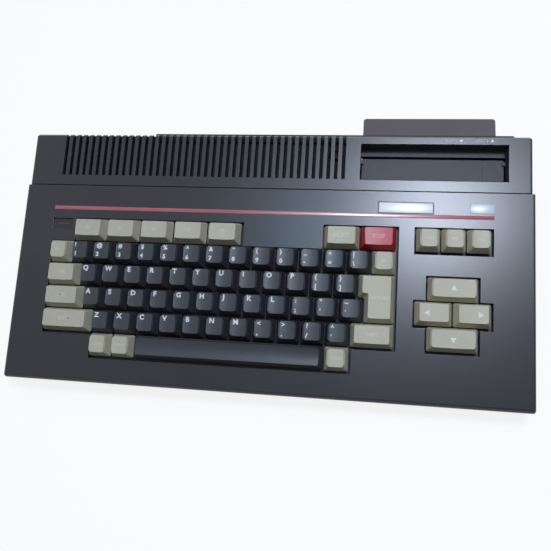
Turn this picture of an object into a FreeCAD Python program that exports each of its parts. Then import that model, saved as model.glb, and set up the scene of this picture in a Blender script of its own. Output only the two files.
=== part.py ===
import FreeCAD, Part
import math
import os
from FreeCAD import Vector

# Vintage home computer: a full keyboard in a low wedge case, with a plug-in cartridge.
# Millimetres. X runs to the user's right, Y to the rear and Z up from the table.
# The origin is on the table, under the middle of the whole outline, cartridge included.

# Case
case_width = 419.6          # front half, across the keyboard deck
rear_width = 415.4          # the rear cover is set in a little on each side
overall_depth = 240.5       # front lip to the back of the plugged-in cartridge
deck_slope = 8.0            # degrees, front low
front_height = 27.0         # deck plane above the table at the front face
wall = 2.5
foot_height = 3.0
rim_z = 16.0                # joint between the lower case and the covers
front_lean = 1.2            # the deck's front face leans in this much down to the rim
tray_lean = 3.5             # and the lower case's front leans in this much down to its underside
lip_radius = 3.0            # the deck rolls down into the front face
edge_radius = 2.0           # outer side edges and upright corners
rear_chamfer = 2.0          # top rear edge of the rear cover
inner_chamfer = 1.0         # the same edge on the inside
tray_chamfer = 1.2          # round the underside of the lower case
parting_gap = 0.6           # shadow line across the deck
overrun = 5.0               # how far a hollow runs on past the open side of its shell
tongue_depth = 1.8          # lip of the rear cover that closes the parting line from below

# Deck frame: v runs up the slope and w stands off it.
# v = 0 is the front edge of the function key tops.
front_v = -119.0
parting_v = 46.5
rear_v = 92.9
left_datum_x = -179.5       # left side of the escape key's cell

# Keys
unit = 19.05                # key pitch
cell_front = -2.4           # front of the function row's cells, in v
key_gap = 0.85              # between neighbouring skirts
key_height = 9.0
top_inset_x = 2.75          # skirt slopes in to the top
top_inset_v = 1.95
cap_wall = 1.3
roof_thickness = 2.0
dish_depth = 0.5
stem_side = 5.4
stem_clearance = 0.3
stem_reach = 2.5            # how far the stem stands in its switch at rest
key_travel = 3.8
plate_w = -5.0              # top of the steel key plate
plate_thickness = 1.2
switch_side = 13.8
switch_bottom_w = -14.0
board_thickness = 1.6
side_block_left = 15.75     # first cell of the cursor and editing block, in key widths
return_left, return_step, return_right = 13.5, 13.75, 15.0
opening_left, opening_right, opening_rear, opening_front = 0.6, 1.3, 0.6, 1.5
plate_margin_x = 9.0        # the plate reaches past the outer keys
plate_margin_v = 7.0

# Lamp window, left of the function keys
led_left = left_datum_x - 2.5
led_right = left_datum_x + 14.7
led_front = 8.0
led_rear = 17.0
lens_depth = 1.6            # the lens lies this far below the deck

# Top cartridge slot
well_width = 114.6
well_front_v = 55.2
well_rear_v = 85.6
well_floor_w = -12.5
well_x = 132.7
well_side = 2.0             # thickness of the tub's side walls
well_bottom_w = -17.0
flap_pivot_v = 58.2
flap_pivot_w = -14.2
flap_free_v = 77.5
flap_width = 112.2
flap_thickness = 2.0
flap_grooves = [93.0, 172.0]
hinge_radius = 2.0
hinge_pin_radius = 1.0
shaft_front, shaft_rear = 56.2, 76.3
shaft_foot_z = 24.0
socket_length = 86.0
top_socket_y = 67.7
top_socket_z = 18.8

# Vent slots over the power supply
vent_count = 41
vent_pitch = 6.0
vent_width = 2.0
vent_first_x = -178.0
vent_front_v = 55.6
vent_depth = 4.2

# Rear panel
panel_top_z = 33.0
port_z = 22.5
hood_reach = 3.2
hood_left_x = -101.0
hood_right_x = 195.5
port_cuts = [               # name, x, width and height of each square opening
    ("inlet", -188.0, 20.4, 12.4), ("switch", -160.0, 13.2, 20.6),
    ("printer", -28.0, 44.4, 12.0),
]
port_depth = 14.0           # how far the port bodies reach in behind the panel
socket_places = [(-86.0, 7.6), (-66.0, 7.6), (14.0, 5.2), (32.0, 5.2)]
modulator_x = -128.0
modulator_jack_radius = 5.2
pin_circle = 3.6            # five contacts of a round socket stand on this circle
inlet_lobe = 4.3            # each pin of the mains inlet from the middle

# Right side
joystick_places = [-12.0, 26.0]
joystick_z = 21.0
joystick_pitch = 2.76

# Power rocker
switch_x = port_cuts[1][1]
rocker_radius = 8.4
rocker_width = 9.2
rocker_tilt = 10.0
trunnion_radius = 1.2

# Cartridge
cart_x = 130.9
cart_width = 109.2
cart_depth = 43.6
cart_height = 17.0
cart_bottom_z = 14.0
cart_wall = 1.8
cart_corner = 2.5

# Inside
floor_z = foot_height + wall
board_z = 12.0
board_top_z = board_z + board_thickness
board_left, board_right = -138.0, 186.0
board_front, board_rear = -26.0, 83.0
board_screw_places = [(-112.0, -20.0), (180.0, -20.0), (-112.0, 52.0), (62.0, 48.0)]
chip_height = 4.2
chip_places = [             # x, y, length and width
    (-20.0, -8.0, 52.0, 15.2), (45.0, -8.0, 52.0, 15.2), (110.0, -8.0, 52.0, 15.2),
    (-20.0, 24.0, 52.0, 15.2), (45.0, 24.0, 36.0, 15.2),
]
small_chip_places = [(-88.0 + 12.0 * number, 0.0) for number in range(4)]
can_places = [(-76.0, 52.0), (-60.0, 52.0)]
transformer_x, transformer_y = -168.0, 44.0
core_width, core_height = 52.0, 38.0
sink_x, sink_y = -104.0, 26.0
fin_count, fin_pitch, fin_height = 6, 6.4, 24.0
ribbon_x = -68.0
ribbon_width = 40.0
ribbon_thickness = 0.8

# Bosses, screws and feet
front_bosses = [(-196.0, -96.0), (0.0, -110.0), (196.0, -96.0)]
rear_bosses = [(-199.0, 61.0), (54.0, 74.0), (198.6, 66.0)]
boss_foot_z = 9.0
boss_radius = 3.8
pillar_radius = 5.0         # pillars of the lower case that meet the bosses
screw_seat_z = 6.5
floor_vent_count = 14
floor_vent_first_x, floor_vent_pitch = -100.0, 9.0
foot_places = [(-182.0, -98.0), (182.0, -98.0), (-182.0, 62.0), (182.0, 62.0)]
foot_length, foot_width = 26.0, 9.0
screw_radius = 1.5
screw_head_radius = 3.0
screw_head_height = 2.0
screw_length = 7.0

slope_sin = math.sin(math.radians(deck_slope))
slope_cos = math.cos(math.radians(deck_slope))
# the rolled lip stays this far behind the corner in which deck and front face would meet
face_lean = math.degrees(math.atan2(front_lean, front_height - rim_z))
lip_bisector = math.radians((deck_slope + face_lean - 90) / 2)
lip_half_angle = math.radians((deck_slope - face_lean + 90) / 2)
lip_setback = lip_radius * (math.cos(lip_bisector) / math.sin(lip_half_angle) - 1)
front_y = -overall_depth / 2 - lip_setback
deck_y = front_y - front_v * slope_cos
deck_z = front_height - front_v * slope_sin
cart_back_y = overall_depth / 2


def slope_y(v, w=0.0):
    return deck_y + v * slope_cos - w * slope_sin


def slope_z(v, w=0.0):
    return deck_z + v * slope_sin + w * slope_cos


def drop_to(v, z):
    """Depth w at which the line square to the deck at v meets the height z."""
    return (z - deck_z - v * slope_sin) / slope_cos


def key_x(units):
    """Left side of the cell that starts this many key widths from the datum."""
    return left_datum_x + units * unit


def row_v(row):
    """Front of a row's cells."""
    return cell_front - row * unit


rear_y = slope_y(rear_v)
step_y = slope_y(parting_v, drop_to(parting_v, rim_z))
panel_inner_y = rear_y - wall
rocker_pivot_y = rear_y - 1.5
cart_front_y = cart_back_y - cart_depth
cart_centre_z = cart_bottom_z + cart_height / 2
plate_left = key_x(0) - plate_margin_x
plate_right = key_x(side_block_left + 3.0) + plate_margin_x
plate_front = row_v(5) - plate_margin_v
plate_rear = row_v(0) + unit + plate_margin_v
plate_posts = [
    (key_x(0) - 5.5, row_v(3)), (key_x(0) - 5.5, row_v(0)),
    (key_x(10.25), row_v(0) + unit / 2), (key_x(15.4), row_v(2)),
    (key_x(14.2), row_v(5) + 6.0), (key_x(1.0), row_v(5) + 6.0),
    (key_x(18.0), row_v(5) + 8.0), (key_x(18.0), row_v(1) + 9.0),
]


def block(x0, x1, y0, y1, z0, z1):
    return Part.makeBox(x1 - x0, y1 - y0, z1 - z0, Vector(x0, y0, z0))


def block_at(x, width, y0, y1, z0, z1):
    return block(x - width / 2, x + width / 2, y0, y1, z0, z1)


def square_block(x, y, side, z0, z1):
    return block_at(x, side, y - side / 2, y + side / 2, z0, z1)


def rod(radius, start, end):
    axis = end - start
    return Part.makeCylinder(radius, axis.Length, start, axis)


def ring_points(radius, sides):
    turns = [math.radians(360 * (number + 0.5) / sides) for number in range(sides)]
    return [(radius * math.cos(turn), radius * math.sin(turn)) for turn in turns]


def filled(points, reach):
    """The flat outline through the points, pushed along reach into a solid."""
    return Part.Face(Part.makePolygon(points + points[:1])).extrude(reach)


def prism(radius, x, y, z0, z1, sides=6):
    """An upright bar with flats, for bosses, posts and screws."""
    points = [Vector(x + px, y + py, z0) for px, py in ring_points(radius, sides)]
    return filled(points, Vector(0, 0, z1 - z0))


def barrel(radius, x, z, y0, y1, sides=12):
    """A faceted round that runs front to rear, for the sockets."""
    points = [Vector(x + px, y0, z + pz) for px, pz in ring_points(radius, sides)]
    return filled(points, Vector(0, y1 - y0, 0))


def on_deck(shape):
    """Moves a shape drawn in the deck frame (x, v, w) to its place in the part."""
    placed = shape.copy()
    placed.rotate(Vector(0, 0, 0), Vector(1, 0, 0), deck_slope)
    placed.translate(Vector(0, deck_y, deck_z))
    return placed


def side_profile(points, half_width):
    """A solid of the given (y, z) outline, extruded across the case."""
    return filled([Vector(-half_width, y, z) for y, z in points], Vector(2 * half_width, 0, 0))


def edges_where(shape, test):
    return [edge for edge in shape.Edges if test(edge)]


def runs_across(edge):
    low, high = edge.BoundBox.XMin, edge.BoundBox.XMax
    return high - low > rear_width / 2


def on_side(edge, half_width):
    box = edge.BoundBox
    return abs(abs(box.XMin) - half_width) < 0.01 and box.XLength < 0.01


def save(name, shape):
    shape.exportStep("parts/" + name + ".step")


# Front deck

def deck_outline(inset):
    """Side outline of the front half; inset moves it inwards by the wall."""
    run_on = overrun if inset else 0.0
    back_v = parting_v - parting_gap / 2 + run_on
    bottom = rim_z - run_on
    corner_v = (front_y + inset - deck_y - inset * slope_sin) / slope_cos
    foot_w = drop_to(back_v, bottom)
    return [
        (front_y + front_lean + inset, bottom),
        (front_y + inset, slope_z(corner_v, -inset)),
        (slope_y(back_v, -inset), slope_z(back_v, -inset)),
        (slope_y(back_v, foot_w), bottom),
    ]


def round_front(solid, radius):
    top = max(edge.BoundBox.ZMax for edge in solid.Edges
              if runs_across(edge) and edge.BoundBox.YMax < front_y + 10)
    lip = edges_where(solid, lambda edge: runs_across(edge)
                      and edge.BoundBox.YMax < front_y + 10
                      and edge.BoundBox.ZMax > top - 0.01)
    return solid.makeFillet(radius, lip)


def round_sides(solid, half_width, lowest_z, is_end):
    """Rolls the tangent run of top, lip and upright edges on both sides."""
    run = edges_where(solid, lambda edge: on_side(edge, half_width)
                      and edge.BoundBox.ZMax > lowest_z + 0.1
                      and not is_end(edge))
    return solid.makeFillet(edge_radius, run)


def key_cells():
    """Every single keycap but the return key: name, left, right and row."""
    cells = []
    for number in range(5):
        left = 1.0 + 1.5 * number
        cells.append(("key_f%d" % (number + 1), left, left + 1.5, 0))
    cells += [
        ("key_select", 12.0, 13.5, 0),
        ("key_stop", 13.5, 15.0, 0),
        ("key_escape", 0.0, 1.0, 1),
        ("key_backspace", 14.0, 15.0, 1),
        ("key_tab", 0.0, 1.5, 2),
        ("key_control", 0.0, 1.75, 3),
        ("key_shift_left", 0.0, 2.25, 4),
        ("key_shift_right", 13.25, 15.0, 4),
        ("key_caps", 2.25, 3.25, 5),
        ("key_graph", 3.25, 4.25, 5),
        ("key_space", 4.25, 12.25, 5),
        ("key_code", 12.25, 13.25, 5),
    ]
    for number, name in enumerate(("key_home", "key_insert", "key_delete")):
        left = side_block_left + number
        cells.append((name, left, left + 1.0, 0))
    cells += [
        ("key_up", side_block_left + 0.5, side_block_left + 2.5, 2),
        ("key_left", side_block_left, side_block_left + 1.5, 3),
        ("key_right", side_block_left + 1.5, side_block_left + 3.0, 3),
        ("key_down", side_block_left + 0.5, side_block_left + 2.5, 4),
    ]
    return cells


def dark_groups():
    """Letter and figure keys, by row and by hand: name, first left edge, count, row."""
    return [
        ("keys_1_to_6", 1.0, 6, 1),
        ("keys_7_to_yen", 7.0, 7, 1),
        ("keys_q_to_y", 1.5, 6, 2),
        ("keys_u_to_bracket", 7.5, 6, 2),
        ("keys_a_to_h", 1.75, 6, 3),
        ("keys_j_to_tilde", 7.75, 6, 3),
        ("keys_z_to_n", 2.25, 6, 4),
        ("keys_m_to_accent", 8.25, 5, 4),
    ]


def all_cells():
    cells = [cell[1:] for cell in key_cells()]
    for _, left, count, row in dark_groups():
        cells += [(left + step, left + step + 1.0, row) for step in range(count)]
    cells.append((return_step, return_right, 3))
    return cells


def deck_openings():
    """Openings in the deck round the keys, as blocks in the deck frame."""
    spans = [
        (1.0, 8.5, 0, 0), (12.0, 15.0, 0, 0),
        (0.0, 15.0, 1, 4), (2.25, 13.25, 5, 5),
        (side_block_left, side_block_left + 3.0, 0, 0),
        (side_block_left + 0.5, side_block_left + 2.5, 2, 4),
        (side_block_left, side_block_left + 3.0, 3, 3),
    ]
    cutters = []
    for start, end, first_row, last_row in spans:
        low_v = row_v(last_row) - opening_front
        high_v = row_v(first_row) + unit + opening_rear
        if first_row == 1:
            high_v = row_v(first_row) + unit
        cutters.append(block(key_x(start) - opening_left, key_x(end) + opening_right,
                             low_v, high_v, -20, 20))
    return cutters


def boss(x, y, top_z):
    outer = prism(boss_radius, x, y, boss_foot_z, top_z)
    hole = prism(screw_radius, x, y, boss_foot_z - 1, boss_foot_z + 9)
    return outer.cut(hole)


def ceiling_z(y):
    """Underside of the deck over the place y, less a little to sink a boss into it."""
    v = (y - deck_y) / slope_cos
    return slope_z(v) - 1.2


def d_shape(x0, x1, y, z, wide, high):
    """A D-shaped bar along X, its top wider than its bottom."""
    corners = [
        (y - wide / 2, z + high / 2), (y + wide / 2, z + high / 2),
        (y + wide / 2 - 1.4, z - high / 2), (y - wide / 2 + 1.4, z - high / 2),
    ]
    return filled([Vector(x0, py, pz) for py, pz in corners], Vector(x1 - x0, 0, 0))


def make_front_deck():
    half = case_width / 2
    outer = side_profile(deck_outline(0.0), half)
    outer = round_front(outer, lip_radius)
    limit = slope_y(parting_v) - 1.0
    outer = round_sides(outer, half, rim_z, lambda edge: edge.BoundBox.YMin > limit)
    inner = side_profile(deck_outline(wall), half - wall)
    inner = round_front(inner, lip_radius - wall)
    shell = outer.cut(inner)
    window = block(led_left, led_right, led_front, led_rear, -20, 20)
    cutters = [on_deck(shape) for shape in deck_openings() + [window]]
    for y in joystick_places:
        cutters.append(d_shape(half - 2 * wall, half + 1, y, joystick_z, 19.0, 10.4))
    shell = shell.cut(cutters)
    for x, v in plate_posts:
        shell = shell.fuse(on_deck(prism(3.0, x, v, plate_w, -wall + 0.5)))
    for x, y in front_bosses:
        shell = shell.fuse(boss(x, y, ceiling_z(y)))
    return shell.removeSplitter()


# Rear cover

def cover_outline(inset):
    run_on = overrun if inset else 0.0
    front = parting_v + parting_gap / 2 - run_on
    bottom = rim_z - run_on
    back = rear_y - inset
    chamfer = inner_chamfer if inset else rear_chamfer
    top_v = (back - deck_y - inset * slope_sin) / slope_cos - chamfer
    foot_w = drop_to(front, bottom)
    return [
        (slope_y(front, foot_w), bottom),
        (slope_y(front, -inset), slope_z(front, -inset)),
        (slope_y(top_v, -inset), slope_z(top_v, -inset)),
        (back, slope_z(top_v, -inset) - chamfer),
        (back, bottom),
    ]


def make_rear_cover():
    half = rear_width / 2
    outer = side_profile(cover_outline(0.0), half)
    limit = slope_y(parting_v) + 6.0
    outer = round_sides(outer, half, rim_z, lambda edge: edge.BoundBox.YMax < limit)
    inner = side_profile(cover_outline(wall), half - wall)
    shell = outer.cut(inner)
    # hood over the sockets and the rear slot, with a rolled end
    hood = block(hood_left_x, hood_right_x, rear_y - 1.0, rear_y + hood_reach,
                 panel_top_z + 0.8, slope_z(rear_v) - 5.5)
    hood_edges = edges_where(hood, lambda edge: edge.BoundBox.YMin > rear_y + 1
                             and edge.BoundBox.ZLength > 5)
    shell = shell.fuse(hood.makeFillet(1.6, hood_edges))
    # tongue that closes the parting line from below
    tongue_width = rear_width - 2 * wall - 1.0
    tongue_low = -wall - 0.1 - tongue_depth
    tongue = block_at(0, tongue_width, parting_v - 2.5, parting_v + 3.0, tongue_low, -wall - 0.1)
    web = block_at(0, tongue_width, parting_v + 1.0, parting_v + 3.0, tongue_low, -wall + 0.5)
    shell = shell.fuse([on_deck(tongue), on_deck(web)])
    for x, y in rear_bosses:
        shell = shell.fuse(boss(x, y, ceiling_z(y)))
    cutters = [on_deck(block_at(well_x, well_width, well_front_v, well_rear_v, -wall - 2, 5))]
    for number in range(vent_count):
        x = vent_first_x + number * vent_pitch
        cutters.append(on_deck(block_at(x, vent_width, vent_front_v, rear_v + 10, -vent_depth, 5)))
    # the lower case's rear panel stands inside this line
    cutters.append(block_at(0, rear_width + 10, panel_inner_y, rear_y + 1, rim_z - 5, panel_top_z))
    return shell.cut(cutters).removeSplitter()


# Lower case

def tray_outline(inset, low_z, high_z, back):
    """Side outline of the lower case or of its hollow; its front face leans under the deck."""
    slant = tray_lean / (rim_z - foot_height)
    front = front_y + front_lean + inset
    return [
        (front + slant * (rim_z - high_z), high_z), (front + slant * (rim_z - low_z), low_z),
        (back, low_z), (back, high_z),
    ]


def make_lower_case():
    front_half, rear_half = case_width / 2, rear_width / 2
    tray = side_profile(tray_outline(0.0, foot_height, rim_z, rear_y), front_half)
    for side in (-1, 1):
        notch = block_at(side * (rear_half + 10), 20, step_y, rear_y + 1, foot_height - 1, rim_z + 1)
        tray = tray.cut(notch)
    uprights = edges_where(tray, lambda edge: edge.BoundBox.ZLength > 5
                           and (edge.BoundBox.YMax < front_y + 10 or edge.BoundBox.YMin > rear_y - 1))
    tray = tray.makeFillet(edge_radius, uprights)
    under = edges_where(tray, lambda edge: edge.BoundBox.ZMax < foot_height + 0.01)
    tray = tray.makeChamfer(tray_chamfer, under)
    hollow = side_profile(tray_outline(wall, floor_z, rim_z + 1, step_y - wall), front_half - wall)
    rear_hollow = block_at(0, rear_width - 2 * wall, step_y - wall - 1, panel_inner_y,
                           floor_z, rim_z + 1)
    tray = tray.cut([hollow, rear_hollow])
    panel = block_at(0, rear_width - 2 * edge_radius, panel_inner_y, rear_y, rim_z - 1, panel_top_z)
    tray = tray.fuse(panel)
    cutters = [block_at(x, width, panel_inner_y - 1, rear_y + 1, port_z - height / 2,
                        port_z + height / 2) for _, x, width, height in port_cuts]
    for x, radius in socket_places:
        cutters.append(block_at(x, 2 * radius + 0.4, panel_inner_y - 1, rear_y + 1,
                                port_z - radius - 0.2, port_z + radius + 0.2))
    cutters.append(barrel(modulator_jack_radius, modulator_x, port_z, panel_inner_y - 1, rear_y + 1))
    cutters.append(block_at(cart_x, cart_width + 1.0, panel_inner_y - 1, rear_y + 1,
                            cart_bottom_z - 0.4, cart_bottom_z + cart_height + 0.4))
    for number in range(floor_vent_count):
        x = floor_vent_first_x + number * floor_vent_pitch
        cutters.append(block_at(x, 3.2, -10, 40, foot_height - 1, floor_z + 1))
    for x, y in front_bosses + rear_bosses:
        head = prism(screw_head_radius + 0.4, x, y, foot_height - 1, screw_seat_z)
        shank = prism(screw_radius + 0.2, x, y, screw_seat_z - 0.5, boss_foot_z + 1)
        tray = tray.fuse(prism(pillar_radius, x, y, foot_height + 0.5, boss_foot_z))
        cutters += [head, shank]
    for x, y in board_screw_places:
        tray = tray.fuse(prism(4.0, x, y, floor_z - 0.5, board_z))
        cutters.append(prism(screw_radius, x, y, floor_z + 0.5, board_z + 1))
    return tray.cut(cutters).removeSplitter()


def make_feet():
    feet = []
    for x, y in foot_places:
        pad = block_at(x, foot_length, y - foot_width / 2, y + foot_width / 2, 0, foot_height)
        corners = edges_where(pad, lambda edge: edge.BoundBox.ZLength > 1)
        feet.append(pad.makeChamfer(1.6, corners))
    return Part.makeCompound(feet)


# Keyboard

def cell_corners(left, right, row, inset_x, inset_v, w):
    """Corners of a cap in its cell, drawn in by the insets, at the height w."""
    x0, x1 = key_x(left) + key_gap / 2 + inset_x, key_x(right) - key_gap / 2 - inset_x
    v0, v1 = row_v(row) + key_gap / 2 + inset_v, row_v(row) + unit - key_gap / 2 - inset_v
    return [Vector(x0, v0, w), Vector(x1, v0, w), Vector(x1, v1, w), Vector(x0, v1, w)]


def return_corners(inset_x, inset_v, w):
    """The same for the return key, whose rear half is wider than its front half."""
    x0 = key_x(return_left) + key_gap / 2 + inset_x
    step = key_x(return_step) + key_gap / 2 + inset_x
    x1 = key_x(return_right) - key_gap / 2 - inset_x
    low = row_v(3) + key_gap / 2 + inset_v
    middle = row_v(2) + key_gap / 2 + inset_v
    high = row_v(2) + unit - key_gap / 2 - inset_v
    return [Vector(step, low, w), Vector(x1, low, w), Vector(x1, high, w),
            Vector(x0, high, w), Vector(x0, middle, w), Vector(step, middle, w)]


def tapered(lower, upper):
    """A solid with flat sides between two like outlines."""
    sides = len(lower)
    loops = [lower[::-1], upper]
    for number in range(sides):
        after = (number + 1) % sides
        loops.append([lower[number], lower[after], upper[after], upper[number]])
    return Part.Solid(Part.Shell([Part.Face(Part.makePolygon(loop + loop[:1])) for loop in loops]))


def cap_from(corners, stem_x, stem_v):
    """A hollow keycap in the deck frame; corners(inset_x, inset_v, w) gives its outline."""
    body = tapered(corners(0.0, 0.0, 0.0), corners(top_inset_x, top_inset_v, key_height))
    roof = key_height - roof_thickness
    share = roof / key_height
    hollow = tapered(
        corners(cap_wall, cap_wall, -0.01),
        corners(top_inset_x * share + cap_wall, top_inset_v * share + cap_wall, roof))
    body = body.cut(hollow)
    stem = square_block(stem_x, stem_v, stem_side, plate_w - stem_reach, roof + 0.2)
    return body.fuse(stem)


def dished(body, x0, x1, v0, v1, domed):
    """Cuts the finger dish across the top, or rounds the top of the space bar."""
    width = x1 - x0
    middle = (x0 + x1) / 2
    if domed:
        radius = ((v1 - v0) ** 2 / 4 + dish_depth ** 2) / (2 * dish_depth)
        centre_w = key_height - radius
        keep = rod(radius, Vector(x0 - 5, (v0 + v1) / 2, centre_w),
                   Vector(x1 + 5, (v0 + v1) / 2, centre_w))
        slab = block(x0 - 6, x1 + 6, v0 - 6, v1 + 6, key_height / 2, key_height + 1)
        return body.cut(slab.cut(keep))
    radius = (width ** 2 / 4 + dish_depth ** 2) / (2 * dish_depth)
    scoop = rod(radius, Vector(middle, v0 - 5, key_height + radius - dish_depth),
                Vector(middle, v1 + 5, key_height + radius - dish_depth))
    return body.cut(scoop)


def make_cap(left, right, row, domed=False):
    def corners(inset_x, inset_v, w):
        return cell_corners(left, right, row, inset_x, inset_v, w)
    x, v = key_x((left + right) / 2), row_v(row) + unit / 2
    body = cap_from(corners, x, v)
    top = corners(top_inset_x, top_inset_v, 0)
    body = dished(body, top[0].x, top[1].x, top[0].y, top[2].y, domed)
    return on_deck(body)


def make_return_cap():
    x, v = key_x((return_step + return_right) / 2), row_v(3) + unit / 2
    body = cap_from(return_corners, x, v)
    top = return_corners(top_inset_x, top_inset_v, 0)
    body = dished(body, top[3].x, top[1].x, top[0].y, top[2].y, False)
    return on_deck(body)


def make_key_plate():
    """Steel plate with the switch housings clipped into it, each open for its keycap's stem."""
    solid = block(plate_left, plate_right, plate_front, plate_rear,
                  plate_w - plate_thickness, plate_w)
    solid = solid.cut(block(led_left, led_right, led_front, led_rear, plate_w - 5, plate_w + 5))
    housings, guides = [], []
    guide_side = stem_side + 2 * stem_clearance
    guide_floor = plate_w - stem_reach - key_travel - 0.5
    for left, right, row in all_cells():
        x, v = key_x((left + right) / 2), row_v(row) + unit / 2
        housings.append(square_block(x, v, switch_side, switch_bottom_w, plate_w - 0.5))
        guides.append(square_block(x, v, guide_side, guide_floor, plate_w + 1))
    return on_deck(solid.fuse(housings).cut(guides).removeSplitter())


def make_keyboard_board():
    sheet = block(plate_left + 4, plate_right - 4, plate_front + 3, plate_rear - 3,
                  switch_bottom_w - board_thickness, switch_bottom_w)
    # the two pilot lamps stand on the board under their window
    lamps = []
    for x in (led_left + 5.0, led_right - 5.0):
        lamps.append(prism(1.5, x, led_rear - 4.5, switch_bottom_w, -wall - 1.4))
    return on_deck(sheet.fuse(lamps))


def make_led_window():
    """A smoked lens that snaps up into its window, with a flange behind the deck."""
    lens = block(led_left + 0.1, led_right - 0.1, led_front + 0.1, led_rear - 0.1,
                 -wall - 0.4, -lens_depth)
    flange = block(led_left - 1.2, led_right + 1.0, led_front - 1.2, led_rear + 1.2,
                   -wall - 1.4, -wall)
    return on_deck(lens.fuse(flange).removeSplitter())


def make_ribbon():
    """Flat cable that drops from the keyboard's board to the main board."""
    top_y = slope_y(plate_rear - 8, switch_bottom_w - board_thickness)
    top_z = slope_z(plate_rear - 8, switch_bottom_w - board_thickness) - 0.1
    low = board_top_z
    outline = [
        (top_y, top_z), (top_y, low + 6.0), (top_y + 4.0, low + 2.0),
        (top_y + 16.0, low + 2.0), (top_y + 16.0, low),
        (top_y + 15.2, low), (top_y + 15.2, low + 2.0 - ribbon_thickness),
        (top_y + 3.6, low + 2.0 - ribbon_thickness), (top_y - ribbon_thickness, low + 5.6),
        (top_y - ribbon_thickness, top_z - 0.1),
    ]
    points = [Vector(ribbon_x - ribbon_width / 2, y, z) for y, z in outline]
    return filled(points, Vector(ribbon_width, 0, 0))


# Electronics

def make_main_board():
    sheet = block(board_left, board_right, board_front, board_rear, board_z, board_top_z)
    holes = []
    for x, y in board_screw_places:
        holes.append(prism(screw_radius + 0.3, x, y, board_z - 1, board_top_z + 1))
    x, y = rear_bosses[1]
    holes.append(prism(5.6, x, y, board_z - 1, board_top_z + 1))
    sheet = sheet.cut(holes)
    chips = []
    for x, y, long, wide in chip_places:
        chips.append(block_at(x, long, y - wide / 2, y + wide / 2,
                              board_top_z, board_top_z + chip_height))
    for x, y in small_chip_places:
        chips.append(block_at(x, 7.6, y - 10, y + 10, board_top_z, board_top_z + chip_height))
    # upright can capacitors beside the regulator
    for x, y in can_places:
        chips.append(prism(5.5, x, y, board_top_z, board_top_z + 18, 12))
    return sheet.fuse(chips)


def make_transformer():
    """Laminated core, bobbin and mounting strap, on the floor at the left rear."""
    x, y = transformer_x, transformer_y
    core = block_at(x, core_width, y - 11, y + 11, floor_z, floor_z + core_height)
    windings = block_at(x, 30.0, y - 19, y + 19, floor_z + 4, floor_z + core_height - 4)
    strap = block_at(x, core_width + 18, y - 7, y + 7, floor_z, floor_z + 2.0)
    return core.fuse([windings, strap]).removeSplitter()


def make_heat_sink():
    """Extruded fins for the regulator, standing on the main board."""
    x0, y0, top = sink_x, sink_y, board_top_z + fin_height
    base = block(x0, x0 + 3.0, y0, y0 + 34.0, board_top_z, top)
    fins = []
    for number in range(fin_count):
        y = y0 + 1.0 + number * fin_pitch
        fins.append(block(x0 + 3.0, x0 + 16.0, y, y + 1.6, board_top_z, top))
    return base.fuse(fins).removeSplitter()


def make_modulator():
    """Screened box of the television modulator, with its aerial jack in the rear panel."""
    box = block_at(modulator_x + 10, 36.0, panel_inner_y - 24.0, panel_inner_y - 0.1,
                   board_top_z, board_top_z + 17.0)
    jack = barrel(modulator_jack_radius - 0.2, modulator_x, port_z, panel_inner_y - 2, rear_y + 4)
    bore = barrel(1.8, modulator_x, port_z, rear_y - 4, rear_y + 5, 8)
    return box.fuse(jack).cut(bore)


def make_sockets():
    """Round sockets for picture, sound and tape, each in its moulded block."""
    sockets = []
    for x, radius in socket_places:
        body = block_at(x, 2 * radius + 3.0, panel_inner_y - 13.0, panel_inner_y - 0.1,
                        board_top_z, port_z + radius + 1.0)
        face = block_at(x, 2 * radius, panel_inner_y - 1, rear_y, port_z - radius, port_z + radius)
        holes = [barrel(radius - 0.6, x, port_z, rear_y - 0.8, rear_y + 1)]
        pins = 5 if radius > 6 else 1
        hole = 1.7 if pins > 1 else 3.0
        for number in range(pins):
            turn = math.radians(180 + 45 * number)
            reach = pin_circle if pins > 1 else 0.0
            hx, hz = x + reach * math.cos(turn), port_z + reach * math.sin(turn)
            holes.append(block_at(hx, hole, rear_y - 7, rear_y + 1, hz - hole / 2, hz + hole / 2))
        sockets.append(body.fuse(face).cut(holes).removeSplitter())
    return Part.makeCompound(sockets)


def make_printer_port():
    """Ribbon-type printer socket: a frame with a contact tongue in it."""
    x, width, height = port_cuts[2][1], 44.0, 11.6
    body = block_at(x, width, panel_inner_y - port_depth, rear_y + 1.2,
                    port_z - height / 2, port_z + height / 2)
    mouth = block_at(x, width - 8, rear_y - 6, rear_y + 2, port_z - 3.6, port_z + 3.6)
    tongue = block_at(x, width - 14, rear_y - 7, rear_y + 0.6, port_z - 1.1, port_z + 1.1)
    stand = block_at(x, width, panel_inner_y - port_depth, panel_inner_y - 8, board_top_z, port_z)
    return body.cut(mouth).fuse([tongue, stand]).removeSplitter()


def make_joystick_ports():
    """Two nine-pin plugs that look out of the right side."""
    ports = []
    half = case_width / 2
    for y in joystick_places:
        body = block(half - 24, half - wall - 0.2, y - 15.0, y + 15.0,
                     joystick_z - 6.0, joystick_z + 6.0)
        foot = block(half - 26, half - 14, y - 15.0, y + 15.0, board_top_z, joystick_z + 6.0)
        shell = d_shape(half - wall - 0.3, half - 0.4, y, joystick_z, 18.4, 9.8)
        hollow = d_shape(half - 8.0, half + 1, y, joystick_z, 17.0, 8.4)
        port = body.fuse([foot, shell]).cut(hollow)
        pins = []
        for row, count, z in ((0, 5, 1.4), (1, 4, -1.4)):
            for number in range(count):
                py = y + (number - (count - 1) / 2) * joystick_pitch
                pins.append(block(half - 8.2, half - 2.6, py - 0.5, py + 0.5,
                                  joystick_z + z - 0.5, joystick_z + z + 0.5))
        ports.append(port.fuse(pins).removeSplitter())
    return Part.makeCompound(ports)


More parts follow.
